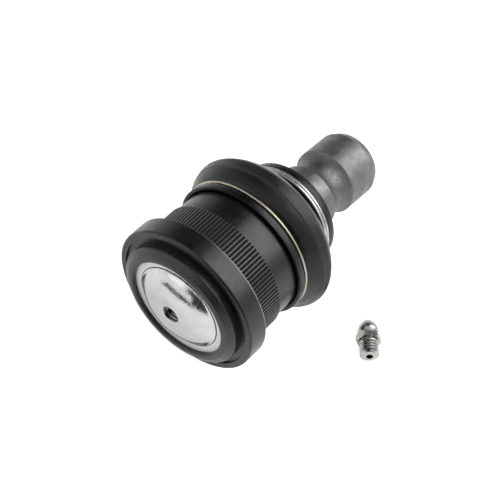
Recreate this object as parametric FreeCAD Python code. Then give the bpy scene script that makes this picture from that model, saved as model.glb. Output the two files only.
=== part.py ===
import FreeCAD, Part
import math
import os

from FreeCAD import Vector

# Suspension ball joint: a pressed-in housing with a flange, a clamped ball stud and a rubber boot.
# Millimetres. The origin is the ball's centre, +X is the housing's axis towards the stud, +Z is up,
# and the stud hangs down by its droop, as it does when the joint lies on a table.
# Places along an axis are x, and distances from it are radii. Turned outlines run in (x, radius).

# Ball and stud
ball_radius = 15.0
ball_flat_depth = 0.8        # taken off the ball's back
neck_radius = 8.0
neck_fillet = 2.5            # between the ball and the neck
neck_end = 15.5              # where the neck starts to widen
collar_start = 23.5
collar_radius = 10.6
collar_round = 5.0
pinch_start = 42.0           # the groove that the pinch bolt passes through
pinch_bottom = 46.5
pinch_radius = 9.0
shank_start = 51.0
shank_radius = 11.04
shank_end = 62.3
stud_length = 64.9
stud_end_radius = 9.86
centre_hole_radius = 2.0
centre_hole_depth = 2.6
droop = 6.83                 # degrees that the stud leans at rest

# Housing
flange_rear = -10.4          # the face that seats on the control arm
flange_thickness = 6.85
flange_height = 3.5          # above the smooth wall
flange_round = 0.7
flange_rear_round = 0.2
root_collar_width = 0.5      # plain ring that stops the ridges at the flange
root_collar_height = 0.7     # above the smooth wall
serration_length = 10.08
serration_height = 0.65      # above the smooth wall
serration_depth = 0.4
serration_count = 114
serration_crest = 0.3        # share of one pitch
serration_valley = 0.24      # share of one pitch
body_wall = 3.75             # from the bore to the smooth wall that guides the housing into the arm
press_end = 7.5
shoulder_radius = 1.1
boot_seat_step = 1.15        # below the smooth wall
boot_seat_end = 12.7
land_height = 0.9            # above the boot's seat
land_width = 1.0
shelf_width = 1.1            # the step in the bore that the cover plate sits on
lip_wall = 2.05              # the crimped lip over the cover plate, round the plate's pocket
lip_edge_back = 0.29         # the lip's places along the axis, from the plate's face
lip_edge_round = 0.6
lip_crease_height = 0.99
lip_nose_height = 1.54
lip_nose_round = 0.75
lip_reach = 2.25             # how far the lip is rolled in over the plate
recess_depth = 0.6           # ring turned into the flange's face outside the lip
recess_width = 1.95
seat_start = 4.2             # the cone that holds the bearing on the stud's side
seat_end = 8.6
mouth_step = 1.1             # how far the cone closes in over the ball
mouth_flare = 3.3            # how far the mouth widens from there to the housing's end
edge_break = 0.4             # small bevels and rounds on several pieces

# Bearings and preload spring
bearing_clearance = 0.03
bearing_wall = 2.52
bearing_split = 0.15         # half the gap between the two bearings
bearing_mouth_x = 7.0
cup_recess = 0.8             # from the ball's flat to the cup's back
cup_bevel = 0.8
bore_clearance = 0.05        # bearings in the bore
grease_groove_count = 6
grease_groove_width = 2.2
grease_groove_depth = 0.8
spring_thickness = 1.3
spring_room = 3.5            # from the cup to the cover plate
spring_inner_radius = 8.5
spring_foot = 0.6            # width of the ring that touches the cup
spring_rim_clearance = 0.6

# Cover plate
plate_rim_clearance = 0.05
plate_thickness = 2.86
plate_groove_radius = 14.2
plate_groove_width = 0.22
plate_groove_depth = 0.3
plate_dome_height = 3.65
plate_dome_thickness = 3.3
plate_top_radius = 4.4
plate_inner_radius = 14.3
port_radius = 2.5
port_bevel = 0.4

# Boot and its rings
boot_clearance = 0.1         # bead on its seat, rings in their grooves
boot_rim_x = 7.9
boot_rim_height = 1.05       # above the floor of the clamp ring's groove
boot_rim_wall = 1.0
boot_bead_start = 9.4
boot_bead_wall = 1.55        # rubber between the housing's seat and the clamp ring's groove
boot_ring_x = 11.1
boot_ring_wire = 0.45        # radius of the wire
boot_ring_gap = 2.4          # between the wire's two ends
boot_ring_opening = 135.0    # degrees from the top to the gap, towards +Y
boot_wall = 2.0
boot_bulge = [(12.3, 2.5), (13.9, 4.0), (15.8, 5.3), (17.9, 6.1)]    # x, and height above the seat
# The cone's points: x, and share of the way out from the neck to the bulge
boot_cone = [(20.2, 0.828), (22.0, 0.527), (23.4, 0.237), (24.8, 0.065), (26.5, 0)]
boot_lean_end = 22.8         # where the boot has taken up the whole droop
boot_neck_wall = 4.1         # rubber round the bush, where the neck begins
boot_neck_room = 2.3         # free room outside the bush, where the hollow ends
neck_ring_x = 28.2
neck_ring_wire = 0.55
neck_ring_band = 3.6         # rubber between the bush and the ring
neck_ring_squeeze = 0.98     # half the distance between its two turns, over the wire's radius
boot_lip_start = 29.4
boot_lip_end = 32.1
boot_lip_wall = 4.3
seal_height = 0.5            # the thin lip that wipes the stud
seal_wall = 0.4
bush_start = 24.5
bush_end = 31.3
bush_wall = 1.95
bush_flange_height = 1.4
bush_flange_width = 0.8
bush_clearance = 0.05        # on the stud's collar
rubber_clearance = 0.3       # rubber beside the bush, the stud and the housing's land

# Grease fitting, lying beside the joint
fitting_x = 25.1
fitting_y = -40.5
fitting_heading = 39.1       # degrees from +X
fitting_length = 13.3
thread_radius = 3.0
thread_length = 5.0
thread_taper = 1.2           # length of the lead-in
thread_tip_radius = 1.7
undercut_radius = 2.4
hex_start = 5.5
hex_end = 7.6
hex_across_flats = 7.0
hex_bevel = 0.35
fitting_neck_radius = 2.3
fitting_neck_end = 8.0
head_radius = 3.28
head_start = 9.2             # where the cone under the head ends
head_tip_radius = 1.4
passage_radius = 1.05
chamber_radius = 1.45
chamber_start = 2.6
inlet_radius = 0.7
inlet_length = 1.0
check_ball_radius = 1.2
check_spring_wire = 0.2
check_spring_turns = 5
fitting_gap = 0.02           # between the ball, the spring and the chamber

# What follows from the sizes above
ball_flat = ball_radius - ball_flat_depth
cup_back = ball_flat - cup_recess
bore_radius = ball_radius + bearing_clearance + bearing_wall + bore_clearance
mouth_radius = ball_radius - mouth_step
mouth_flare_radius = mouth_radius + mouth_flare
press_radius = bore_radius + body_wall
flange_radius = press_radius + flange_height
root_collar_radius = press_radius + root_collar_height
serration_radius = press_radius + serration_height
boot_seat_radius = press_radius - boot_seat_step
land_radius = boot_seat_radius + land_height
shelf_radius = bore_radius + shelf_width
shelf_x = -cup_back - spring_room
plate_rim_radius = shelf_radius - plate_rim_clearance
plate_face_x = shelf_x - plate_thickness
lip_wall_radius = shelf_radius + lip_wall
lip_edge_x = plate_face_x + lip_edge_back
lip_crease_x = plate_face_x - lip_crease_height
lip_nose_radius = shelf_radius - lip_reach
lip_nose_x = plate_face_x - lip_nose_height
recess_radius = lip_wall_radius + recess_width

AXIS = Vector(1, 0, 0)
ORIGIN = Vector(0, 0, 0)
ACROSS = Vector(0, 1, 0)


def end_of(corner):
    """Where an outline's entry ends, as (x, radius)."""
    return corner[1] if isinstance(corner[0], tuple) else corner[:2]


def rounded(corner, before, after):
    """A corner (x, radius, round) between two straight runs, as its arc's start and the arc."""
    tip, back, ahead = (Vector(p[0], p[1], 0) for p in (corner, before, after))
    to_back, to_ahead = (back - tip).normalize(), (ahead - tip).normalize()
    half = to_back.getAngle(to_ahead) / 2
    reach = corner[2] / math.tan(half)
    start, end = tip + to_back * reach, tip + to_ahead * reach
    middle = tip + (to_back + to_ahead).normalize() * (corner[2] / math.sin(half) - corner[2])
    return [(start.x, start.y), ((middle.x, middle.y), (end.x, end.y))]


def outline(corners):
    """A closed wire from (x, radius) corners. A third value rounds a corner, and two points are an arc."""
    steps = []
    for i, corner in enumerate(corners):
        if len(corner) == 3:
            steps += rounded(corner, end_of(corners[i - 1]), end_of(corners[(i + 1) % len(corners)]))
        else:
            steps.append(corner)
    edges = []
    here = end_of(steps[0])
    for step in steps[1:] + [here]:
        start, end = Vector(here[0], 0, here[1]), Vector(end_of(step)[0], 0, end_of(step)[1])
        if isinstance(step[0], tuple):
            edges.append(Part.Arc(start, Vector(step[0][0], 0, step[0][1]), end).toShape())
        else:
            edges.append(Part.LineSegment(start, end).toShape())
        here = end_of(step)
    return Part.Wire(edges)


def turned(corners):
    """A solid turned about the X axis from its half outline."""
    return Part.Face(outline(corners)).revolve(ORIGIN, AXIS, 360)


def on_sphere(radius, x):
    """The point (x, radius) of a sphere about the origin."""
    return x, math.sqrt(radius ** 2 - x ** 2)


def leaned(shape, degrees=droop):
    """The shape with its axis hung down from +X about the ball's centre."""
    lean = shape.copy()
    lean.rotate(ORIGIN, ACROSS, degrees)
    return lean


def wire_ring(x, radius, wire, gap=0.0, opening=0.0):
    """A round-wire ring about the X axis. Its ends stand apart by the gap, at the opening's angle."""
    open_angle = math.degrees(gap / radius)
    section = Part.Wire(Part.makeCircle(wire, Vector(x, 0, radius), ACROSS))
    section.rotate(ORIGIN, AXIS, open_angle / 2 - opening)
    return Part.Face(section).revolve(ORIGIN, AXIS, 360 - open_angle)


def serrations():
    """The straight ridges that bite into the arm's eye, between the flange and the smooth wall."""
    valley_radius = serration_radius - serration_depth
    ridge = [(valley_radius, serration_valley / 2 - 0.5), (serration_radius, -serration_crest / 2),
             (serration_radius, serration_crest / 2), (valley_radius, 0.5 - serration_valley / 2)]
    corners = []
    for i in range(serration_count):
        for radius, share in ridge:
            angle = (i + share) * 2 * math.pi / serration_count
            corners.append(Vector(flange_rear, radius * math.cos(angle), radius * math.sin(angle)))
    ring = Part.Face(Part.makePolygon(corners + [corners[0]])).extrude(AXIS * serration_length)
    core_radius = (bore_radius + valley_radius) / 2
    return ring.cut(Part.makeCylinder(core_radius, serration_length, Vector(flange_rear, 0, 0), AXIS))


def housing():
    """The turned body: crimped lip, flange, press wall, boot seat and flared mouth, with its ridges."""
    flange_front = flange_rear - flange_thickness
    recess_x = flange_front + recess_depth
    collar_end = flange_rear + root_collar_width
    ridge_end = flange_rear + serration_length
    valley_radius = serration_radius - serration_depth
    shoulder_x = press_end + shoulder_radius
    pocket = [(shelf_x, bore_radius), (shelf_x, shelf_radius), (plate_face_x, shelf_radius)]
    lip = [(plate_face_x, lip_nose_radius), (lip_nose_x, lip_nose_radius, lip_nose_round),
           (lip_crease_x, shelf_radius), (lip_edge_x, lip_wall_radius, lip_edge_round)]
    flange = [(recess_x, lip_wall_radius), (recess_x, recess_radius), (flange_front, recess_radius),
              (flange_front, flange_radius, flange_round), (flange_rear, flange_radius, flange_rear_round)]
    wall = [(flange_rear, root_collar_radius), (collar_end, root_collar_radius), (collar_end, valley_radius),
            (ridge_end, valley_radius), (ridge_end, press_radius),
            (shoulder_x, press_radius, shoulder_radius)]
    housing_end = boot_seat_end + land_width
    seat = [(shoulder_x, boot_seat_radius), (boot_seat_end, boot_seat_radius), (boot_seat_end, land_radius),
            (housing_end, land_radius, edge_break)]
    mouth = [(housing_end, mouth_flare_radius), (seat_end, mouth_radius), (seat_start, bore_radius)]
    return turned(pocket + lip + flange + wall + seat + mouth).fuse(serrations()).removeSplitter()


def grease_grooves(side):
    """Slots along the ball that let grease past a bearing."""
    reach = ball_radius + grease_groove_depth
    corner = Vector(min(side * reach, 0), -grease_groove_width / 2, -reach)
    slots = []
    for i in range(grease_groove_count // 2):
        slot = Part.makeBox(reach, grease_groove_width, 2 * reach, corner)
        slot.rotate(ORIGIN, AXIS, i * 360 / grease_groove_count)
        slots.append(slot)
    return slots[0].multiFuse(slots[1:]).common(Part.makeSphere(reach))


def mouth_bearing():
    """The bearing ring on the stud's side, trapped between the ball and the housing's cone."""
    inner = ball_radius + bearing_clearance
    outer = bore_radius - bore_clearance
    slope = (bore_radius - mouth_radius) / (seat_end - seat_start)
    middle = (bearing_split + bearing_mouth_x) / 2
    ring = turned([on_sphere(inner, bearing_split),
                   (on_sphere(inner, middle), on_sphere(inner, bearing_mouth_x)),
                   (bearing_mouth_x, outer - slope * (bearing_mouth_x - seat_start)),
                   (seat_start, outer), (bearing_split, outer)])
    return ring.cut(grease_grooves(1))


def pressure_cup():
    """The bearing cup behind the ball, pushed forward by the disc spring."""
    inner = ball_radius + bearing_clearance
    outer = bore_radius - bore_clearance
    middle = (bearing_split + cup_back) / 2
    cup = turned([on_sphere(inner, -bearing_split), (on_sphere(inner, -middle), on_sphere(inner, -cup_back)),
                  (-cup_back, outer - cup_bevel), (cup_bevel - cup_back, outer), (-bearing_split, outer)])
    return cup.cut(grease_grooves(-1))


def preload_spring():
    """A conical disc spring: its rim bears on the cover plate, its inner edge on the pressure cup."""
    rim = bore_radius - spring_rim_clearance
    return turned([(shelf_x, rim), (shelf_x + spring_thickness, rim),
                   (-cup_back, spring_inner_radius + spring_foot), (-cup_back, spring_inner_radius),
                   (-cup_back - spring_thickness, spring_inner_radius)])


def dome_arc(base_x, base_radius, top_x):
    """A dome's arc from its flat top, which it leaves square to the axis, down to its base."""
    rise, run = base_x - top_x, base_radius - plate_top_radius
    bend = (run ** 2 + rise ** 2) / (2 * rise)
    middle_x = top_x + bend - math.sqrt(bend ** 2 - (run / 2) ** 2)
    return (middle_x, plate_top_radius + run / 2), (base_x, base_radius)


def cover_plate():
    """The domed steel cover under the crimped lip, with the tapped port for the grease fitting."""
    top = plate_face_x - plate_dome_height
    inner_top = top + plate_dome_thickness
    groove_in, groove_out = (plate_groove_radius + side * plate_groove_width / 2 for side in (-1, 1))
    outside = [(top + port_bevel, port_radius), (top, port_radius + port_bevel), (top, plate_top_radius),
               dome_arc(plate_face_x, groove_in, top)]
    groove = [(plate_face_x + plate_groove_depth, groove_in), (plate_face_x + plate_groove_depth, groove_out),
              (plate_face_x, groove_out)]
    rim = [(plate_face_x, plate_rim_radius), (shelf_x, plate_rim_radius), (shelf_x, plate_inner_radius)]
    way, base = dome_arc(shelf_x, plate_inner_radius, inner_top)
    inside = [(way, (inner_top, plate_top_radius)), (inner_top, port_radius)]
    return turned(outside + groove + rim + inside)


def ball_stud():
    """The forged stud: ball, neck, collar, pinch groove and clamped shank, all turned as one piece."""
    centre_radius = neck_radius + neck_fillet
    centre_x = math.sqrt((ball_radius + neck_fillet) ** 2 - centre_radius ** 2)
    centre = Vector(centre_x, centre_radius, 0)
    touch = centre * (ball_radius / (ball_radius + neck_fillet))
    dip = centre + (touch - centre + Vector(0, -neck_fillet, 0)).normalize() * neck_fillet
    ball = [(-ball_flat, 0), on_sphere(ball_radius, -ball_flat), ((0, ball_radius), (touch.x, touch.y)),
            ((dip.x, dip.y), (centre_x, neck_radius))]
    neck = [(neck_end, neck_radius), (collar_start, collar_radius, collar_round),
            (pinch_start, collar_radius)]
    shank = [((pinch_bottom, pinch_radius), (shank_start, shank_radius)), (shank_end, shank_radius),
             (stud_length, stud_end_radius, edge_break), (stud_length, centre_hole_radius),
             (stud_length - centre_hole_depth, 0)]
    return leaned(turned(ball + neck + shank))


def bush_room():
    """The inside radius of the rubber round the bush."""
    return collar_radius + bush_clearance + bush_wall + rubber_clearance


def boot_ring_floor():
    """The bottom radius of the clamp ring's groove."""
    return boot_seat_radius + boot_clearance + boot_bead_wall


def boot_profile():
    """The boot's outside in (x, radius): the bulge out from the housing, and the cone in to the neck."""
    bulge = [(x, boot_seat_radius + height) for x, height in boot_bulge]
    neck = bush_room() + boot_neck_wall
    rise = bulge[-1][1] - neck
    return bulge, [bulge[-1]] + [(x, neck + share * rise) for x, share in boot_cone]


def boot_droop(x):
    """How far the boot has leaned over at x, from nothing at its seat to the stud's droop."""
    share = (x - boot_seat_end) / (boot_lean_end - boot_seat_end)
    return droop * math.sin(min(max(share, 0), 1) * math.pi / 2)


def inset(profile, depth):
    """A profile moved inwards along its normals."""
    moved = []
    for i, (x, radius) in enumerate(profile):
        before, after = profile[max(i - 1, 0)], profile[min(i + 1, len(profile) - 1)]
        run = Vector(after[0] - before[0], after[1] - before[1], 0).normalize()
        moved.append((x + run.y * depth, radius - run.x * depth))
    return moved


def boot_loft(profile, straight=False):
    """A solid through circles that lean over more and more, smooth or in straight steps."""
    circles = [Part.Wire(Part.makeCircle(radius, Vector(x, 0, 0), AXIS)) for x, radius in profile]
    leaning = [leaned(circle, boot_droop(x)) for circle, (x, _) in zip(circles, profile)]
    return Part.makeLoft(leaning, True, straight)


def boot_shell():
    """The hollow bulge, with a crease at its largest circle, open towards the housing and the stud."""
    bulge, cone = boot_profile()
    bead_end = boot_seat_end - boot_clearance
    bead_radius = boot_seat_radius + boot_clearance
    neck_start = bush_start + bush_flange_width + rubber_clearance
    first, last = (bead_end, land_radius + rubber_clearance), (neck_start, bush_room() + boot_neck_room)
    outside = boot_loft(bulge).fuse(boot_loft(cone))
    hollow = boot_loft([first] + inset(bulge + cone[1:], boot_wall)[1:-2] + [last], straight=True)
    bead_hole = Part.makeCylinder(bead_radius, bead_end, ORIGIN, AXIS)
    neck_length = cone[-1][0] - neck_start
    bush_hole = leaned(Part.makeCylinder(bush_room(), neck_length, Vector(neck_start, 0, 0), AXIS))
    return outside.cut([hollow, bead_hole, bush_hole])


def boot_rim():
    """The boot's flared rim, the groove of the clamp ring, and the bead that sits on the housing."""
    bulge_start, bulge_radius = boot_profile()[0][0]
    bead_radius = boot_seat_radius + boot_clearance
    half = boot_ring_wire + boot_clearance
    floor = boot_ring_floor()
    rim_radius = floor + boot_rim_height
    return turned([(boot_rim_x, rim_radius - boot_rim_wall), (boot_rim_x, rim_radius, edge_break),
                   (boot_ring_x - 2 * half, rim_radius), (boot_ring_x - half, floor),
                   (boot_ring_x + half, floor), (bulge_start, bulge_radius), (bulge_start, bead_radius),
                   (boot_bead_start, bead_radius)])


def boot_neck():
    """The thick neck that the double ring squeezes onto the bush, with its sealing lip round the stud."""
    face_x, face_radius = boot_profile()[1][-1]
    seal_radius = collar_radius + rubber_clearance
    half = 2 * neck_ring_wire + boot_clearance
    room = bush_room()
    floor = room + neck_ring_band
    outside = [(face_x, room), (face_x, face_radius), (neck_ring_x - half, floor),
               (boot_lip_start, floor), (boot_lip_start, room + boot_lip_wall, edge_break),
               (boot_lip_end, room + boot_lip_wall, edge_break)]
    seal = [(boot_lip_end, room), (boot_lip_end + seal_height, seal_radius + seal_wall),
            (boot_lip_end + seal_height, seal_radius), (boot_lip_end, seal_radius),
            (bush_end + rubber_clearance, room)]
    return leaned(turned(outside + seal))


def boot():
    """The rubber boot: rim and bead on the housing, the hollow bulge, and the neck on its bush."""
    return boot_shell().fuse([boot_rim(), boot_neck()]).removeSplitter()


def boot_clamp_ring():
    """The single-wire ring that holds the boot's bead in its seat."""
    radius = boot_ring_floor() + boot_clearance + boot_ring_wire
    return wire_ring(boot_ring_x, radius, boot_ring_wire, boot_ring_gap, boot_ring_opening)


def boot_neck_ring():
    """The wire ring round the boot's neck: its two turns lie pressed together all the way round."""
    offset = neck_ring_wire * neck_ring_squeeze
    radius = bush_room() + neck_ring_band + boot_clearance + neck_ring_wire
    back = wire_ring(neck_ring_x - offset, radius, neck_ring_wire)
    front = wire_ring(neck_ring_x + offset, radius, neck_ring_wire)
    return leaned(back.fuse(front))


def slip_bush():
    """The hard ring inside the boot's neck, on which the stud turns without twisting the rubber."""
    inner = collar_radius + bush_clearance
    outer = inner + bush_wall
    flange_end = bush_start + bush_flange_width
    bush_flange_radius = outer + bush_flange_height
    return leaned(turned([(bush_start, inner), (bush_start, bush_flange_radius),
                          (flange_end, bush_flange_radius), (flange_end, outer),
                          (bush_end - edge_break, outer), (bush_end, outer - edge_break),
                          (bush_end, inner)]))


def table():
    """The plane that the joint lies on: its slope along X, and a point under the flange's front edge."""
    bulge_x, bulge_radius = boot_profile()[1][0]
    lean = math.radians(boot_droop(bulge_x))
    low_x = bulge_x * math.cos(lean) - bulge_radius * math.sin(lean)
    low_z = -bulge_x * math.sin(lean) - bulge_radius * math.cos(lean)
    edge_x = flange_rear - flange_thickness + flange_round
    return (low_z + flange_radius) / (low_x - edge_x), Vector(edge_x, 0, -flange_radius)


def on_table(shape):
    """A piece of the grease fitting, made along +X from the origin, laid on the table beside the joint."""
    slope, point = table()
    heading = math.radians(fitting_heading)
    up = Vector(-slope, 0, 1).normalize()
    along = Vector(math.cos(heading), math.sin(heading), slope * math.cos(heading)).normalize()
    foot = Vector(fitting_x, fitting_y, point.z + slope * (fitting_x - point.x))
    start = foot + up * (hex_across_flats / 2) - along * (fitting_length / 2)
    turn = FreeCAD.Rotation(along, up.cross(along), up, "XZY")
    laid = shape.copy()
    laid.Placement = FreeCAD.Placement(start, turn).multiply(shape.Placement)
    return laid


def hexagon():
    """The fitting's hexagon, with a flat facing down, and its corners turned off at both ends."""
    corner = hex_across_flats / math.sqrt(3)
    corners = [Vector(hex_start, corner * math.cos(i * math.pi / 3), corner * math.sin(i * math.pi / 3))
               for i in range(6)]
    prism = Part.Face(Part.makePolygon(corners + [corners[0]])).extrude(AXIS * (hex_end - hex_start))
    blank = turned([(hex_start, 0), (hex_start, corner - hex_bevel), (hex_start + hex_bevel, corner),
                    (hex_end - hex_bevel, corner), (hex_end, corner - hex_bevel), (hex_end, 0)])
    return prism.common(blank)


def fitting_body():
    """The grease fitting's body: thread blank, hexagon, waist and the round head for the grease gun."""
    seat_x = fitting_length - inlet_length
    head_middle = (head_start + fitting_length) / 2
    bulge = head_radius - (head_radius - head_tip_radius) / 4
    body = turned([(0, 0), (0, thread_tip_radius), (thread_taper, thread_radius),
                   (thread_length, thread_radius), (thread_length, undercut_radius),
                   (hex_start, undercut_radius),
                   (hex_start, fitting_neck_radius), (fitting_neck_end, fitting_neck_radius),
                   (head_start, head_radius), ((head_middle, bulge), (fitting_length, head_tip_radius)),
                   (fitting_length, 0)])
    chamber_end = seat_x + inlet_radius - chamber_radius
    passage = turned([(0, 0), (0, passage_radius), (chamber_start, passage_radius),
                      (chamber_start, chamber_radius), (chamber_end, chamber_radius),
                      (seat_x, inlet_radius), (fitting_length, inlet_radius), (fitting_length, 0)])
    return on_table(body.fuse(hexagon()).cut(passage))


def check_ball_x():
    """Where the check ball's centre stands when it closes the inlet's 45 degree seat."""
    return fitting_length - inlet_length + inlet_radius - (check_ball_radius + fitting_gap) * math.sqrt(2)


def check_ball():
    """The ball that closes the fitting behind the grease gun."""
    return on_table(Part.makeSphere(check_ball_radius, Vector(check_ball_x(), 0, 0)))


def check_spring():
    """The coil spring that pushes the check ball onto its seat."""
    radius = chamber_radius - check_spring_wire - 3 * fitting_gap
    start = chamber_start + check_spring_wire + fitting_gap
    contact = math.sqrt((check_ball_radius + check_spring_wire + fitting_gap) ** 2 - radius ** 2)
    height = check_ball_x() - contact - start
    path = Part.makeLongHelix(height / check_spring_turns, height, radius)
    section = Part.Wire(Part.makeCircle(check_spring_wire, Vector(radius, 0, 0), ACROSS))
    coil = Part.Wire(path.Edges).makePipeShell([section], True, True)
    coil.rotate(ORIGIN, ACROSS, 90)
    coil.translate(AXIS * start)
    return on_table(coil)


PARTS = {
    "housing": housing,
    "cover_plate": cover_plate,
    "mouth_bearing": mouth_bearing,
    "pressure_cup": pressure_cup,
    "preload_spring": preload_spring,
    "ball_stud": ball_stud,
    "boot": boot,
    "boot_clamp_ring": boot_clamp_ring,
    "slip_bush": slip_bush,
    "boot_neck_ring": boot_neck_ring,
    "fitting_body": fitting_body,
    "check_ball": check_ball,
    "check_spring": check_spring,
}

os.makedirs("parts", exist_ok=True)
for name, make in PARTS.items():
    shape = make()
    print(name, shape.isValid(), len(shape.Solids), round(shape.Volume, 2))
    shape.exportStep(f"parts/{name}.step")
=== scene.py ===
import math

import bpy
from mathutils import Matrix, Vector


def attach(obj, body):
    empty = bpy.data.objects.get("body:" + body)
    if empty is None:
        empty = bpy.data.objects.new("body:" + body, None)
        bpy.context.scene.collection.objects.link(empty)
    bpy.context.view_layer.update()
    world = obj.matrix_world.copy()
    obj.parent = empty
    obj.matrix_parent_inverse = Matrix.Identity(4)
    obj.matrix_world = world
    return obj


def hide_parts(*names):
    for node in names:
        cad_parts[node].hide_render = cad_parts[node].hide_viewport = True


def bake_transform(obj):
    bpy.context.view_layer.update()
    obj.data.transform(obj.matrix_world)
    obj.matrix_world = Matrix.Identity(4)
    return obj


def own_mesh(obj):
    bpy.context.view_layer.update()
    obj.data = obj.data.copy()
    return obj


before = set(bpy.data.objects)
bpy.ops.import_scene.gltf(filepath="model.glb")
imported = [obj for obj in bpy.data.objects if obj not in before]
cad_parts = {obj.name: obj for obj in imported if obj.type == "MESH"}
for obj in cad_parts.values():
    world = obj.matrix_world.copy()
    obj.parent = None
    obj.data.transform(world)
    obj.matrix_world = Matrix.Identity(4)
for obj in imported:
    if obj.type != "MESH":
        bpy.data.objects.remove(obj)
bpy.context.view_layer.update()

# Housing: one turned steel body with a flange, straight rolled ridges that bite into the arm, a smooth
# guide wall and the boot's seat. It is coated black. The lip, crimped over the cover plate after coating,
# has lost its gloss. The flange's rear edge is painted pale grey in broken patches, most of all on the side
# that faces the lamp: rubbed bare metal and a painted highlight.


def add_node(material, kind, inputs=None, **settings):
    """Adds a node with its settings, and puts numbers or other nodes' outputs on its sockets."""
    node = material.node_tree.nodes.new("ShaderNode" + kind)
    for name, value in settings.items():
        setattr(node, name, value)
    for socket, value in (inputs or {}).items():
        if isinstance(value, bpy.types.NodeSocket):
            material.node_tree.links.new(value, node.inputs[socket])
        else:
            node.inputs[socket].default_value = value
    return node


def new_finish(name, **constants):
    """A material and its shader, with the values that are the same all over the surface."""
    material = bpy.data.materials.new(name)
    material.use_nodes = True
    shader = material.node_tree.nodes["Principled BSDF"]
    for socket, value in constants.items():
        shader.inputs[socket.replace("_", " ")].default_value = value
    return material, shader


def put(material, shader, socket, value):
    """Feeds one of the shader's sockets from a node's output."""
    material.node_tree.links.new(value, shader.inputs[socket])


def along_axis(material, lean=0.0):
    """The distance along the turning axis, the radius, and the point itself, for a piece that leans."""
    point = add_node(material, "TexCoord").outputs["Object"]
    upright = add_node(material, "Mapping", {"Vector": point, "Rotation": (0, -math.radians(lean), 0)})
    split = add_node(material, "SeparateXYZ", {0: upright.outputs[0]})
    flat = add_node(material, "CombineXYZ", {"Y": split.outputs["Y"], "Z": split.outputs["Z"]})
    radius = add_node(material, "VectorMath", {0: flat.outputs[0]}, operation="LENGTH")
    return split.outputs["X"], radius.outputs["Value"], upright.outputs[0]


def step(material, value, low, high):
    """Rises smoothly from 0 at low to 1 at high, or falls where low is the larger."""
    ramp = add_node(material, "MapRange", {"Value": value, "From Min": low, "From Max": high},
                    interpolation_type="SMOOTHSTEP")
    return ramp.outputs["Result"]


def both(material, first, second):
    """The product of two masks."""
    return add_node(material, "Math", {0: first, 1: second}, operation="MULTIPLY").outputs[0]


def total(material, first, second):
    """The sum of two values."""
    return add_node(material, "Math", {0: first, 1: second}, operation="ADD").outputs[0]


def between(material, mask, low, high):
    """A number that goes from low to high with the mask."""
    return add_node(material, "MapRange", {"Value": mask, "To Min": low, "To Max": high}).outputs["Result"]


def blend_colour(material, mask, first, second):
    """One colour where the mask is 0, and the other where it is 1. Either may be a node's output."""
    mix = add_node(material, "Mix", data_type="RGBA")
    for index, value in ((0, mask), (6, first), (7, second)):
        if isinstance(value, bpy.types.NodeSocket):
            material.node_tree.links.new(value, mix.inputs[index])
        else:
            mix.inputs[index].default_value = value
    return mix.outputs[2]


def speckle(material, point, scale, detail=4.0, low=0.35, high=0.65):
    """Noise with as many grains to a metre as the scale, stretched to run from 0 to 1."""
    noise = add_node(material, "TexNoise", {"Vector": point, "Scale": scale, "Detail": detail})
    return step(material, noise.outputs["Fac"], low, high)


def lathe_marks(material, distance, fineness):
    """The waves that a turning tool leaves: the sine of a distance times its fineness in radians a metre."""
    phase = both(material, distance, fineness)
    return add_node(material, "Math", {0: phase}, operation="SINE").outputs[0]


def grain_bump(material, shader, height, depth):
    """Relief of a real depth in metres."""
    bump = add_node(material, "Bump", {"Height": height, "Distance": depth, "Strength": 1.0})
    put(material, shader, "Normal", bump.outputs["Normal"])


def dress(node, material):
    """Gives a piece of the frame its finish."""
    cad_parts[node].data.materials.clear()
    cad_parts[node].data.materials.append(material)


lip_start = -0.01690
lip_outside = 0.0229
lip_crown = -0.02085
ridges_front = -0.01000
ridges_rear = -0.00020
ridge_flank = 0.02186
ridge_crest = 0.02199
edge_mark_radius = 0.02462
edge_mark_start = -0.01092

coat, coat_shader = new_finish("black_coated_steel", Metallic=0.0, IOR=1.5)
x, radius, point = along_axis(coat)
mottle = speckle(coat, point, scale=900.0)
past_wall = step(coat, x, lip_start, lip_start - 0.00055)
lip = both(coat, past_wall, step(coat, radius, lip_outside, lip_outside - 0.0003))
lip_top = step(coat, x, lip_crown, lip_crown - 0.0003)
wall_colour = blend_colour(coat, mottle, (0.0040, 0.0040, 0.0043, 1), (0.0068, 0.0068, 0.0070, 1))
slope_colour = blend_colour(coat, mottle, (0.011, 0.010, 0.009, 1), (0.020, 0.019, 0.017, 1))
top_colour = blend_colour(coat, mottle, (0.040, 0.038, 0.034, 1), (0.060, 0.057, 0.051, 1))
lip_colour = blend_colour(coat, lip_top, slope_colour, top_colour)
past_flange = step(coat, x, ridges_front, ridges_front + 0.00015)
ridges = both(coat, past_flange, step(coat, x, ridges_rear, ridges_rear - 0.00020))
crest = step(coat, radius, ridge_flank, ridge_crest)
# Painted shade: the valleys between the ridges are painted near black; the crests are painted light grey.
ridge_colour = blend_colour(coat, crest, (0.0010, 0.0010, 0.0011, 1), (0.038, 0.038, 0.038, 1))
painted = blend_colour(coat, ridges, blend_colour(coat, lip, wall_colour, lip_colour), ridge_colour)
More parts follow.
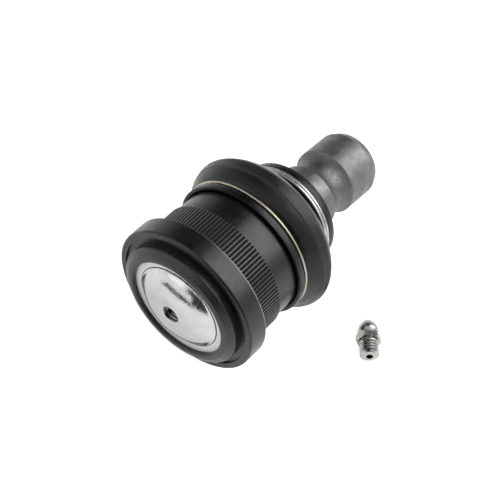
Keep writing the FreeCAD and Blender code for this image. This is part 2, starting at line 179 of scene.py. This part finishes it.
# Painted highlight and wear: the rear edge of the flange is painted pale grey in broken patches, strongest on
# the side that faces the lamp.
near_rim = step(coat, radius, edge_mark_radius, edge_mark_radius + 0.00012)
rear_edge = both(coat, near_rim, step(coat, x, edge_mark_start, edge_mark_start + 0.00028))
scuffs = speckle(coat, point, scale=700.0, detail=3.0, low=0.22, high=0.5)
sideways = add_node(coat, "SeparateXYZ", {0: point}).outputs["Y"]
lamp_side = between(coat, step(coat, sideways, 0.002, -0.014), 0.10, 1.0)
wear_and_highlight = both(coat, both(coat, rear_edge, scuffs), lamp_side)
put(coat, coat_shader, "Base Color", blend_colour(coat, wear_and_highlight, painted, (0.30, 0.29, 0.27, 1)))
turned_gloss = between(coat, speckle(coat, point, scale=420.0), 0.27, 0.35)
rubbed = both(coat, both(coat, lip, lip_top), between(coat, mottle, 0.10, 0.20))
sheltered = both(coat, ridges, between(coat, crest, 0.55, 0.0))
dulled = total(coat, rubbed, sheltered)
put(coat, coat_shader, "Roughness", total(coat, turned_gloss, dulled))
ring_cut = both(coat, lathe_marks(coat, radius, 16000.0), lip)
orange_peel = both(coat, speckle(coat, point, scale=1400.0), 0.5)
grain_bump(coat, coat_shader, total(coat, ring_cut, orange_peel), depth=0.000006)
dress("housing", coat)

# Bearings: two moulded polyacetal seats with grease slots hold the ball, one on the stud's side and one
# behind it as a cup. A conical disc spring under the cover plate presses the cup onto the ball.

polyacetal, polyacetal_shader = new_finish("polyacetal", IOR=1.48)
_, _, point = along_axis(polyacetal)
cloud = speckle(polyacetal, point, scale=300.0)
ivory = blend_colour(polyacetal, cloud, (0.62, 0.61, 0.57, 1), (0.70, 0.69, 0.66, 1))
put(polyacetal, polyacetal_shader, "Base Color", ivory)
put(polyacetal, polyacetal_shader, "Roughness", between(polyacetal, cloud, 0.38, 0.50))
grain_bump(polyacetal, polyacetal_shader, speckle(polyacetal, point, scale=2500.0), depth=0.000008)
dress("mouth_bearing", polyacetal)
dress("pressure_cup", polyacetal)

blued, blued_shader = new_finish("blued_spring_steel", Metallic=1.0)
_, radius, point = along_axis(blued)
tone = speckle(blued, point, scale=500.0)
blue_grey = blend_colour(blued, tone, (0.10, 0.10, 0.12, 1), (0.17, 0.17, 0.20, 1))
put(blued, blued_shader, "Base Color", blue_grey)
put(blued, blued_shader, "Roughness", between(blued, tone, 0.30, 0.42))
grain_bump(blued, blued_shader, lathe_marks(blued, radius, 20000.0), depth=0.000003)
dress("preload_spring", blued)

# Cover plate: pressed from sheet, domed, with a flat rim and a fine coined line round the dome, tapped in
# the middle for the grease fitting, and bright zinc plated. It lies in the housing's pocket under the lip.

mm = 0.001
weld = 0.000001


def millimetres(points):
    """Outline points (x, radius) written in millimetres, as metres."""
    return [(x * mm, radius * mm) for x, radius in points]


def arc(centre, size, start, end, pieces):
    """Points (x, radius) of an arc in millimetres. Degrees run from +X towards a larger radius."""
    turns = [math.radians(start + (end - start) * i / pieces) for i in range(pieces + 1)]
    return [(centre[0] + size * math.cos(a), centre[1] + size * math.sin(a)) for a in turns]


def turn_on_lathe(name, outline, steps, bevel=0.0):
    """A closed turned piece about the X axis: a corner point is extruded along the outline and spun."""
    bpy.ops.object.select_all(action="DESELECT")
    bpy.ops.mesh.primitive_plane_add(size=0.001, location=(0, 0, 0))
    piece = bpy.context.object
    piece.name = name
    bpy.ops.object.mode_set(mode="EDIT")
    bpy.ops.mesh.merge(type="CENTER")
    bpy.ops.transform.translate(value=(outline[0][0], 0, outline[0][1]))
    for here, there in zip(outline, outline[1:] + outline[:1]):
        shift = (there[0] - here[0], 0, there[1] - here[1])
        bpy.ops.mesh.extrude_region_move(TRANSFORM_OT_translate={"value": shift})
    bpy.ops.mesh.select_all(action="SELECT")
    bpy.ops.mesh.remove_doubles(threshold=weld)
    bpy.ops.mesh.select_all(action="SELECT")
    bpy.ops.mesh.spin(steps=steps, angle=2 * math.pi, center=(0, 0, 0), axis=(1, 0, 0))
    bpy.ops.mesh.select_all(action="SELECT")
    bpy.ops.mesh.remove_doubles(threshold=weld)
    bpy.ops.mesh.normals_make_consistent(inside=False)
    bpy.ops.object.mode_set(mode="OBJECT")
    if bevel:
        edges = piece.modifiers.new("edges", "BEVEL")
        edges.width = bevel
        edges.segments = 2
        edges.limit_method = "ANGLE"
        edges.angle_limit = math.radians(40)
        bpy.ops.object.modifier_apply(modifier="edges")
    bpy.ops.object.shade_smooth_by_angle(angle=math.radians(32))
    return piece


def cut_thread(piece, start, end, crest, root, pitch, lead_in):
    """Moves the dense rows of a turned piece in or out to a V thread that winds round the X axis."""
    for vertex in piece.data.vertices:
        x, y, z = vertex.co
        distance = math.hypot(y, z)
        if start <= x <= end and abs(distance - crest) < 0.00002:
            share = (x / pitch - math.atan2(z, y) / (2 * math.pi)) % 1
            depth = abs(2 * share - 1) * min(1, (x - start) / lead_in, (end - x) / lead_in)
            grown = (distance + (root - crest) * depth) / distance
            vertex.co = (x, y * grown, z * grown)


thread_pitch = 1.0
thread_lead_in = 0.3
port_radius = 2.5
port_root = 2.95
port_chamfer = 0.4
port_row = 0.075
dome_top = -23.41
dome_curve = 14.69
dome_flat = 4.4
line_inside = 14.09
line_outside = 14.31
line_floor = -19.46
rim_face = -19.76
plate_radius = 18.65
plate_back = -16.9
plate_inside = -20.11

bore = [(plate_inside - port_row * i, port_radius) for i in range(39)]
mouth = [(dome_top + port_chamfer, port_radius), (dome_top, port_radius + port_chamfer)]
dome = arc((dome_top + dome_curve, dome_flat), dome_curve, 180, 144.5, 14)
foot = [(-20.42, 13.25), (-20.20, 13.55), (-20.04, 13.82), (-19.95, line_inside)]
coined_line = [(line_floor, line_inside), (line_floor, line_outside), (rim_face, line_outside)]
edge = [(rim_face, plate_radius), (plate_back, plate_radius), (plate_back, 14.3)]
hollow = [(-17.9, 12.9), (-18.9, 10.9), (-19.7, 8.4), (-20.05, 6.0), (plate_inside, dome_flat)]
plate_outline = bore + mouth + dome + foot + coined_line + edge + hollow
plate = turn_on_lathe("domed_cover_plate", millimetres(plate_outline), steps=128)
cut_thread(plate, (dome_top + port_chamfer) * mm, plate_inside * mm, port_radius * mm, port_root * mm,
           thread_pitch * mm, thread_lead_in * mm)

zinc, zinc_shader = new_finish("bright_zinc_plate")
_, radius, point = along_axis(zinc)
cloud = speckle(zinc, point, scale=260.0, detail=5.0, low=0.3, high=0.7)
silver = blend_colour(zinc, cloud, (0.58, 0.60, 0.59, 1), (0.66, 0.675, 0.66, 1))
past_dome = step(zinc, radius, (line_inside - 0.07) * mm, (line_inside + 0.03) * mm)
in_line = both(zinc, past_dome, step(zinc, radius, (line_outside + 0.07) * mm, (line_outside - 0.03) * mm))
on_rim = step(zinc, radius, (line_outside + 0.05) * mm, (line_outside + 0.15) * mm)
# Painted light: the flat rim is painted whiter and less metallic than the dome, so that it shows bright in
# the lip's shade.
rim_painted_light = blend_colour(zinc, on_rim, silver, (0.86, 0.88, 0.88, 1))
in_bore = step(zinc, radius, (port_radius + 0.5) * mm, (port_radius + 0.2) * mm)
# Painted shade: the coined line and the tapped bore are painted dark grey.
line_and_bore_shade = add_node(zinc, "Math", {0: in_line, 1: in_bore}, operation="MAXIMUM").outputs[0]
put(zinc, zinc_shader, "Base Color", blend_colour(zinc, line_and_bore_shade, rim_painted_light, (0.10, 0.10, 0.11, 1)))
put(zinc, zinc_shader, "Metallic", between(zinc, on_rim, 0.90, 0.25))
satin = both(zinc, on_rim, 0.26)
sheen = between(zinc, speckle(zinc, point, scale=700.0), 0.10, 0.18)
put(zinc, zinc_shader, "Roughness", total(zinc, sheen, satin))
ripple = speckle(zinc, point, scale=420.0, detail=4.0, low=0.2, high=0.8)
pits = both(zinc, speckle(zinc, point, scale=1500.0), 0.35)
on_dome = add_node(zinc, "Math", {0: 1.0, 1: on_rim}, operation="SUBTRACT").outputs[0]
grain_bump(zinc, zinc_shader, both(zinc, total(zinc, ripple, pits), on_dome), depth=0.000022)
plate.data.materials.append(zinc)
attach(plate, "housing")
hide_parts("cover_plate")

# Ball stud: forged and turned from one bar, with the ball, the neck, the collar that the boot seals on,
# the groove for the pinch bolt and the shank that the knuckle clamps. It is left as bare satin steel.

droop = 6.83
groove_start = 0.0410
groove_end = 0.0512

steel, steel_shader = new_finish("bare_turned_steel", Metallic=1.0)
x, _, point = along_axis(steel, droop)
cloud = speckle(steel, point, scale=220.0, detail=6.0, low=0.3, high=0.7)
warm = blend_colour(steel, cloud, (0.172, 0.170, 0.165, 1), (0.232, 0.229, 0.222, 1))
past_collar = step(steel, x, groove_start, groove_start + 0.0030)
groove = both(steel, past_collar, step(steel, x, groove_end, groove_end - 0.0010))
stained = both(steel, groove, speckle(steel, point, scale=2600.0, detail=6.0, low=0.25, high=0.75))
put(steel, steel_shader, "Base Color", blend_colour(steel, stained, warm, (0.12, 0.117, 0.112, 1)))
put(steel, steel_shader, "Roughness", between(steel, speckle(steel, point, scale=650.0), 0.42, 0.54))
scored = both(steel, lathe_marks(steel, x, 24000.0), 0.3)
sand = speckle(steel, point, scale=3200.0, detail=3.0, low=0.3, high=0.7)
grain_bump(steel, steel_shader, total(steel, scored, sand), depth=0.000012)
dress("ball_stud", steel)

# Boot: moulded black chloroprene rubber, pulled over the housing's seat and the stud's bush. It is thin
# and round at the bulge, with the mould's parting line on it, and thick at the neck and its sealing lip.


def bowed(points, pieces):
    """A smooth run of points through a few, as a flexible ruler would lie."""
    ends = [points[0]] + points + [points[-1]]
    run = []
    for i in range(len(points) - 1):
        before, start, end, after = ends[i:i + 4]
        for k in range(pieces):
            t = k / pieces
            run.append(tuple(0.5 * (2 * b + (c - a) * t + (2 * a - 5 * b + 4 * c - d) * t * t
                                    + (3 * b - a - 3 * c + d) * t ** 3)
                             for a, b, c, d in zip(before, start, end, after)))
    return run + [points[-1]]


bead_radius = 22.9
ring_groove = 21.85
bush_room = 12.9
neck_floor = 16.5
lip_radius = 17.2
lip_face = 32.1
lip_mouth = 10.9
parting_line = 15.7
outer_half_end = 26.5
droop_start = 12.7
droop_length = 10.1

bead = [(7.9, 21.9), (7.9, bead_radius), (10.0, bead_radius), (10.55, ring_groove), (11.65, ring_groove)]
bulge_near = bowed([(12.3, 22.7), (13.9, 24.2), (15.5, 25.32)], 6)
mould_seam = [(15.55, 25.50), (15.72, 25.50), (15.80, 25.38)]
bulge_far = bowed([(15.9, 25.45), (17.0, 25.98), (17.9, 26.3), (18.9, 25.85), (20.2, 24.7), (22.0, 21.9),
                   (23.4, 19.2), (24.8, 17.6), (26.5, 17.0)], 4)
neck = [(27.0, neck_floor), (29.4, neck_floor), (29.4, lip_radius), (lip_face, lip_radius)]
sealing_lip = [(lip_face, bush_room), (32.6, 11.3), (32.6, lip_mouth), (lip_face, lip_mouth)]
bush_seat = [(31.6, bush_room), (25.6, bush_room), (25.6, 15.2)]
inside = bowed([(23.2, 16.2), (21.7, 18.2), (20.4, 20.9), (19.0, 23.2), (17.9, 24.1), (16.6, 23.7)], 3)
housing_seat = [(15.2, 22.7), (13.7, 21.5), (12.6, 21.4), (12.6, 20.3), (9.4, 20.3)]
boot_outline = (bead + bulge_near + mould_seam + bulge_far + neck + sealing_lip + bush_seat + inside
                + housing_seat)
boot = turn_on_lathe("moulded_boot", millimetres(boot_outline), steps=144, bevel=0.0001)
for vertex in boot.data.vertices:
    share = min(max((vertex.co.x - droop_start * mm) / (droop_length * mm), 0), 1)
    bent = math.radians(droop * math.sin(share * math.pi / 2))
    vertex.co = Matrix.Rotation(bent, 3, "Y") @ vertex.co

rubber, rubber_shader = new_finish("moulded_rubber", IOR=1.42)
x, _, point = along_axis(rubber)
bloom = speckle(rubber, point, scale=180.0, detail=5.0, low=0.3, high=0.7)
black = blend_colour(rubber, bloom, (0.0018, 0.0018, 0.0021, 1), (0.0036, 0.0036, 0.0040, 1))
# The outer half of the bulge, past the parting line, is painted a lighter grey in patches.
past_seam = step(rubber, x, parting_line * mm, (parting_line + 0.4) * mm)
outer_half = both(rubber, past_seam, step(rubber, x, outer_half_end * mm, (outer_half_end - 4.0) * mm))
outer_half_tint = both(rubber, outer_half, between(rubber, bloom, 0.45, 0.8))
put(rubber, rubber_shader, "Base Color", blend_colour(rubber, outer_half_tint, black, (0.0250, 0.0250, 0.0258, 1)))
put(rubber, rubber_shader, "Roughness", between(rubber, speckle(rubber, point, scale=500.0), 0.27, 0.38))
skin = speckle(rubber, point, scale=2600.0, detail=4.0, low=0.25, high=0.75)
grain_bump(rubber, rubber_shader, skin, depth=0.000014)
boot.data.materials.append(rubber)
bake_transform(boot)
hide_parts("boot")

# Clamp ring: one turn of round spring wire, yellow chromated, that snaps into the groove over the boot's
# bead. Its two ends stand a little apart.


def wire_turn(name, x, radius, wire, gap=0.0):
    """One turn of round wire about the X axis. With a gap it is open at the top, and its ends are flat."""
    bpy.ops.object.select_all(action="DESELECT")
    bpy.ops.mesh.primitive_circle_add(vertices=18, radius=wire, fill_type="NGON" if gap else "NOTHING",
                                      location=(x, 0, radius), rotation=(math.pi / 2, 0, 0))
    turn = bpy.context.object
    turn.name = name
    bpy.ops.object.transform_apply(location=True, rotation=True, scale=True)
    opening = gap / radius
    turn.data.transform(Matrix.Rotation(-opening / 2, 4, "X"))
    bpy.ops.object.mode_set(mode="EDIT")
    bpy.ops.mesh.select_all(action="SELECT")
    bpy.ops.mesh.spin(steps=160, angle=2 * math.pi - opening, center=(0, 0, 0), axis=(1, 0, 0))
    bpy.ops.mesh.select_all(action="SELECT")
    bpy.ops.mesh.remove_doubles(threshold=weld)
    bpy.ops.mesh.normals_make_consistent(inside=False)
    bpy.ops.object.mode_set(mode="OBJECT")
    bpy.ops.object.shade_smooth_by_angle(angle=math.radians(40))
    return turn


clamp_ring_x = 0.0111
clamp_ring_radius = 0.0224
clamp_wire = 0.00045
clamp_gap = 0.0024
clamp_gap_angle = -135

chromate, chromate_shader = new_finish("yellow_chromate", Metallic=1.0)
_, _, point = along_axis(chromate)
straw = (0.42, 0.41, 0.27, 1)
sand_gold = (0.50, 0.47, 0.36, 1)
rose = (0.48, 0.41, 0.38, 1)
olive = (0.38, 0.39, 0.28, 1)
iris = add_node(chromate, "TexNoise", {"Vector": point, "Scale": 90.0, "Detail": 2.0})
hues = add_node(chromate, "ValToRGB", {"Fac": iris.outputs["Fac"]})
for share, colour in ((0.34, straw), (0.50, sand_gold), (0.60, rose), (0.70, olive)):
    hues.color_ramp.elements.new(share).color = colour
hues.color_ramp.elements[0].color = straw
hues.color_ramp.elements[-1].color = olive
put(chromate, chromate_shader, "Base Color", hues.outputs["Color"])
grain = speckle(chromate, point, scale=900.0, detail=1.0)
put(chromate, chromate_shader, "Roughness", between(chromate, grain, 0.26, 0.34))
grain_bump(chromate, chromate_shader, grain, depth=0.000001)
clamp_ring = wire_turn("clamp_ring_wire", clamp_ring_x, clamp_ring_radius, clamp_wire, clamp_gap)
clamp_ring.data.transform(Matrix.Rotation(math.radians(clamp_gap_angle), 4, "X"))
clamp_ring.data.materials.append(chromate)
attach(clamp_ring, "housing")
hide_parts("boot_clamp_ring")

# Slip bush: a hard ring of black nylon, moulded into the boot's neck. The stud turns in it without
# twisting the rubber.

nylon, nylon_shader = new_finish("black_nylon", IOR=1.53)
_, _, point = along_axis(nylon, droop)
cloud = speckle(nylon, point, scale=400.0)
charcoal = blend_colour(nylon, cloud, (0.020, 0.020, 0.021, 1), (0.032, 0.032, 0.034, 1))
put(nylon, nylon_shader, "Base Color", charcoal)
put(nylon, nylon_shader, "Roughness", between(nylon, cloud, 0.36, 0.48))
grain_bump(nylon, nylon_shader, speckle(nylon, point, scale=2400.0), depth=0.000008)
dress("slip_bush", nylon)

# Neck ring: bright zinc-plated spring wire, wound in two turns that lie side by side. It squeezes the
# boot's neck onto the bush.

neck_ring_x = 0.0282
neck_ring_radius = 0.01715
neck_wire = 0.00055
half_pitch = 0.00054

wire, wire_shader = new_finish("bright_wire", Metallic=1.0)
_, _, point = along_axis(wire, droop)
cloud = speckle(wire, point, scale=600.0)
bluish = blend_colour(wire, cloud, (0.44, 0.46, 0.48, 1), (0.58, 0.60, 0.62, 1))
put(wire, wire_shader, "Base Color", bluish)
put(wire, wire_shader, "Roughness", between(wire, speckle(wire, point, scale=1100.0, detail=1.0), 0.20, 0.28))
grain_bump(wire, wire_shader, speckle(wire, point, scale=900.0, detail=1.0), depth=0.0000006)
neck_ring = wire_turn("neck_ring_wire", neck_ring_x - half_pitch, neck_ring_radius, neck_wire)
wire_turn("second_turn", neck_ring_x + half_pitch, neck_ring_radius, neck_wire)
neck_ring.select_set(True)
bpy.context.view_layer.objects.active = neck_ring
bpy.ops.object.join()
neck_ring.data.transform(Matrix.Rotation(math.radians(droop), 4, "Y"))
neck_ring.data.materials.append(wire)
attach(neck_ring, "neck")
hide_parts("boot_neck_ring")

# Grease fitting: turned from free-cutting steel and zinc plated, with an M6 thread, a hexagon and a round
# head for the grease gun. It comes loose beside the joint, and lies on the table on a flat of its hexagon.

thread_radius = 3.0
thread_root = 2.45
thread_start = 0.7
thread_length = 5.0
thread_row = 0.08
undercut_radius = 2.6
waist_radius = 2.3
hexagon_start = 5.5
hexagon_end = 7.6
hexagon_flats = 7.0
blank_radius = 4.1
blank_end_radius = 3.69
chamfer_length = 0.35
passage_radius = 1.05
chamber_radius = 1.45
chamber_start = 2.6
inlet_radius = 0.7
fitting_length = 13.3
along = Vector((0.77415614, 0.62913963, -0.06975384))
up = Vector((0.08973616, 0, 0.99596558))
thread_end = Vector((0.020266, -0.044684, -0.024653))

tip = [(0, passage_radius), (0, 1.95), (0.18, 2.35), (0.68, thread_radius)]
thread = [(thread_start + thread_row * i, thread_radius) for i in range(53)]
undercut = [(thread_length, thread_radius), (thread_length, undercut_radius),
            (hexagon_start, undercut_radius)]
waist = [(hexagon_start, waist_radius), (8.0, waist_radius)]
head = [(9.1, 3.18), (9.4, 3.28), (10.2, 3.24), (11.25, 2.9), (12.2, 2.35), (12.9, 1.8),
        (fitting_length, 1.35)]
inlet = [(fitting_length, inlet_radius), (12.3, inlet_radius), (11.55, chamber_radius)]
chamber = [(chamber_start, chamber_radius), (chamber_start, passage_radius)]
fitting_outline = tip + thread + undercut + waist + head + inlet + chamber
fitting = turn_on_lathe("threaded_fitting", millimetres(fitting_outline), steps=72)
cut_thread(fitting, thread_start * mm, (thread_length - 0.1) * mm, thread_radius * mm, thread_root * mm,
           thread_pitch * mm, thread_lead_in * mm)

bpy.ops.object.select_all(action="DESELECT")
bpy.ops.mesh.primitive_cylinder_add(vertices=6, radius=hexagon_flats * mm / math.sqrt(3),
                                    depth=(hexagon_end - hexagon_start) * mm,
                                    location=((hexagon_start + hexagon_end) / 2 * mm, 0, 0),
                                    rotation=(0, math.pi / 2, 0))
hexagon = bpy.context.object
hexagon.name = "fitting_hexagon"
bpy.ops.object.transform_apply(location=True, rotation=True, scale=True)
blank_outline = [(hexagon_start, 0.0), (hexagon_start, blank_end_radius),
                 (hexagon_start + chamfer_length, blank_radius), (hexagon_end - chamfer_length, blank_radius),
                 (hexagon_end, blank_end_radius), (hexagon_end, 0.0)]
blank = turn_on_lathe("turned_blank", millimetres(blank_outline), steps=72)
corners_off = hexagon.modifiers.new("corners_off", "BOOLEAN")
corners_off.operation = "INTERSECT"
corners_off.object = blank
bpy.context.view_layer.objects.active = hexagon
bpy.ops.object.modifier_apply(modifier="corners_off")
bpy.data.objects.remove(blank)
edges = hexagon.modifiers.new("edges", "BEVEL")
edges.width = 0.00008
edges.segments = 2
edges.limit_method = "ANGLE"
bpy.ops.object.modifier_apply(modifier="edges")

bright, bright_shader = new_finish("fitting_zinc", Metallic=1.0)
_, _, point = along_axis(bright)
reach = add_node(bright, "VectorMath", {0: point, 1: thread_end}, operation="SUBTRACT").outputs[0]
height = add_node(bright, "VectorMath", {0: reach, 1: along}, operation="DOT_PRODUCT").outputs["Value"]
aside = add_node(bright, "VectorMath", {0: reach, 1: along}, operation="CROSS_PRODUCT").outputs[0]
radius = add_node(bright, "VectorMath", {0: aside}, operation="LENGTH").outputs["Value"]
past_tip = step(bright, height, thread_start * mm, (thread_start + 0.2) * mm)
before_end = step(bright, height, (thread_length - 0.1) * mm, (thread_length - 0.3) * mm)
deep = step(bright, radius, (thread_radius - 0.18) * mm, (thread_root + 0.09) * mm)
in_root = both(bright, both(bright, past_tip, before_end), deep)
in_bore = step(bright, radius, (passage_radius + 0.07) * mm, (passage_radius - 0.01) * mm)
# Painted shade: the roots of the thread and the bore are painted dark grey.
thread_and_bore_shade = add_node(bright, "Math", {0: in_root, 1: in_bore}, operation="MAXIMUM").outputs[0]
cloud = speckle(bright, point, scale=500.0, detail=4.0, low=0.3, high=0.7)
silver = blend_colour(bright, cloud, (0.40, 0.41, 0.385, 1), (0.52, 0.53, 0.50, 1))
put(bright, bright_shader, "Base Color", blend_colour(bright, thread_and_bore_shade, silver, (0.075, 0.078, 0.082, 1)))
put(bright, bright_shader, "Roughness", between(bright, speckle(bright, point, scale=900.0), 0.20, 0.30))
grain_bump(bright, bright_shader, speckle(bright, point, scale=1300.0, detail=3.0), depth=0.0000025)
across = up.cross(along)
place = Matrix.Translation(thread_end) @ Matrix((along, across, up)).transposed().to_4x4()
for piece in (fitting, hexagon):
    piece.data.transform(place)
    piece.data.materials.clear()
    piece.data.materials.append(bright)
    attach(piece, "fitting")
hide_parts("fitting_body")

# Check valve: a hardened ball and a small coil spring of piano wire inside the fitting close it behind the
# grease gun.

chrome, chrome_shader = new_finish("hardened_ball", Metallic=1.0)
_, _, point = along_axis(chrome)
haze = speckle(chrome, point, scale=900.0)
mirror = blend_colour(chrome, haze, (0.50, 0.50, 0.51, 1), (0.62, 0.62, 0.63, 1))
put(chrome, chrome_shader, "Base Color", mirror)
put(chrome, chrome_shader, "Roughness", between(chrome, haze, 0.10, 0.18))
dress("check_ball", chrome)

valve_spring = bpy.data.objects.new("valve_spring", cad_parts["check_spring"].data.copy())
bpy.context.scene.collection.objects.link(valve_spring)
bpy.ops.object.select_all(action="DESELECT")
valve_spring.select_set(True)
bpy.context.view_layer.objects.active = valve_spring
bpy.ops.object.mode_set(mode="EDIT")
bpy.ops.mesh.select_all(action="SELECT")
bpy.ops.mesh.remove_doubles(threshold=weld)
bpy.ops.object.mode_set(mode="OBJECT")
bpy.ops.object.shade_smooth_by_angle(angle=math.radians(32))
piano_wire, piano_shader = new_finish("piano_wire", Metallic=1.0)
_, _, point = along_axis(piano_wire)
tone = speckle(piano_wire, point, scale=1200.0)
drawn_grey = blend_colour(piano_wire, tone, (0.30, 0.29, 0.28, 1), (0.42, 0.41, 0.40, 1))
put(piano_wire, piano_shader, "Base Color", drawn_grey)
put(piano_wire, piano_shader, "Roughness", between(piano_wire, tone, 0.22, 0.32))
valve_spring.data.materials.clear()
valve_spring.data.materials.append(piano_wire)
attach(valve_spring, "fitting")
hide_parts("check_spring")
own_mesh(valve_spring)

# Studio: the joint lies on a white table, on its flange and its boot, so the table slopes a little in the
# housing's own frame. One large soft lamp stands over the stud, in a white tent with two dark openings.
# Two black cards beside the joint are there for its gloss to show.

table_gap = 0.0001
low_edge = Vector((-0.01655, 0, -0.02485))

bpy.ops.object.select_all(action="DESELECT")
bpy.ops.mesh.primitive_plane_add(size=6.0, location=(0, 0, 0))
table = bpy.context.object
table.name = "table"
tilt = Vector((0, 0, 1)).rotation_difference(up).to_matrix().to_4x4()
table.data.transform(Matrix.Translation(low_edge - up * table_gap) @ tilt)
paper, paper_shader = new_finish("white_table", Base_Color=(0.76, 0.76, 0.76, 1), Roughness=1.0,
                                 Specular_IOR_Level=0.0, Emission_Color=(1, 1, 1, 1))
seen = add_node(paper, "LightPath")
to_camera = both(paper, seen.outputs["Is Camera Ray"], 0.80)
to_metal = both(paper, seen.outputs["Is Glossy Ray"], 0.45)
put(paper, paper_shader, "Emission Strength", total(paper, to_camera, to_metal))
table.data.materials.append(paper)

felt, _ = new_finish("black_felt", Base_Color=(0.012, 0.013, 0.016, 1), Roughness=1.0,
                     Specular_IOR_Level=0.0)


def black_card(name, size, turned, centre):
    """A black card beside the joint that only its gloss sees. It gives the bright plate its dark streaks."""
    bpy.ops.object.select_all(action="DESELECT")
    bpy.ops.mesh.primitive_plane_add(size=1.0, location=centre, rotation=turned)
    card = bpy.context.object
    card.name = name
    card.scale = (size[0], size[1], 1)
    bpy.ops.object.transform_apply(location=True, rotation=True, scale=True)
    card.visible_camera = False
    card.visible_shadow = False
    card.visible_diffuse = False
    card.data.materials.append(felt)


lying = (0, math.radians(5.15), math.radians(-16))
standing = (0, math.radians(90), math.radians(30.4))
black_card("card_on_table", size=(0.056, 0.080), turned=lying, centre=(-0.1170, 0.0294, -0.0147))
black_card("card_upright", size=(0.090, 0.126), turned=standing, centre=(-0.0920, -0.0655, 0.0305))

world = bpy.data.worlds.new("tent")
world.use_nodes = True
bpy.context.scene.world = world
sky = world.node_tree.nodes["Background"]
direction = add_node(world, "TexCoord").outputs["Generated"]


def aimed(azimuth, elevation):
    """The direction at an angle from +X and from level, both in degrees."""
    a = math.radians(azimuth)
    e = math.radians(elevation)
    return Vector((math.cos(a) * math.cos(e), math.sin(a) * math.cos(e), math.sin(e)))


def towards(azimuth, elevation, far, near):
    """A soft round patch of the tent: 0 beyond the far angle from a direction, and 1 within the near one."""
    aim = aimed(azimuth, elevation)
    cosine = add_node(world, "VectorMath", {0: direction, 1: aim}, operation="DOT_PRODUCT").outputs["Value"]
    return step(world, cosine, math.cos(math.radians(far)), math.cos(math.radians(near)))


roof_gap = between(world, towards(azimuth=46, elevation=46, far=44, near=10), 1.0, 0.03)
door = between(world, towards(azimuth=-158, elevation=12, far=34, near=16), 1.0, 0.04)
wall = between(world, towards(azimuth=146, elevation=6, far=34, near=14), 0.72, 1.45)
tent = both(world, both(world, roof_gap, door), wall)
seen = add_node(world, "LightPath")
level = add_node(world, "Mix", {"Factor": seen.outputs["Is Camera Ray"]})
world.node_tree.links.new(tent, level.inputs[2])
level.inputs[3].default_value = 1.0
world.node_tree.links.new(level.outputs[0], sky.inputs["Strength"])
sky.inputs["Color"].default_value = (1, 1, 1, 1)

away = aimed(azimuth=-38, elevation=47)
lamp_distance = 0.7
lit_point = Vector((0.02, 0, 0))
lamp = bpy.data.lights.new("key", "AREA")
lamp.shape = "SQUARE"
lamp.size = 0.64
lamp.energy = 3.7
stand = bpy.data.objects.new("key", lamp)
stand.location = away * lamp_distance + lit_point
stand.rotation_mode = "QUATERNION"
stand.rotation_quaternion = away.to_track_quat("Z", "Y")
bpy.context.scene.collection.objects.link(stand)

view = bpy.data.cameras.new("photograph")
view.sensor_width = 36
view.lens = 115.2
view.clip_start = 0.01
view.clip_end = 20
camera = bpy.data.objects.new("photograph", view)
right = Vector((0.63305106, -0.76669945, 0.10685644))
top = Vector((0.58660094, 0.56518967, 0.5800517))
back = Vector((-0.50511948, -0.30452026, 0.80754054))
facing = Matrix((right, top, back)).transposed().to_4x4()
lens_place = (-0.230003, -0.146848, 0.384017)
camera.matrix_world = Matrix.Translation(lens_place) @ facing
bpy.context.scene.collection.objects.link(camera)
bpy.context.scene.camera = camera
bpy.context.scene.view_settings.view_transform = "Standard"
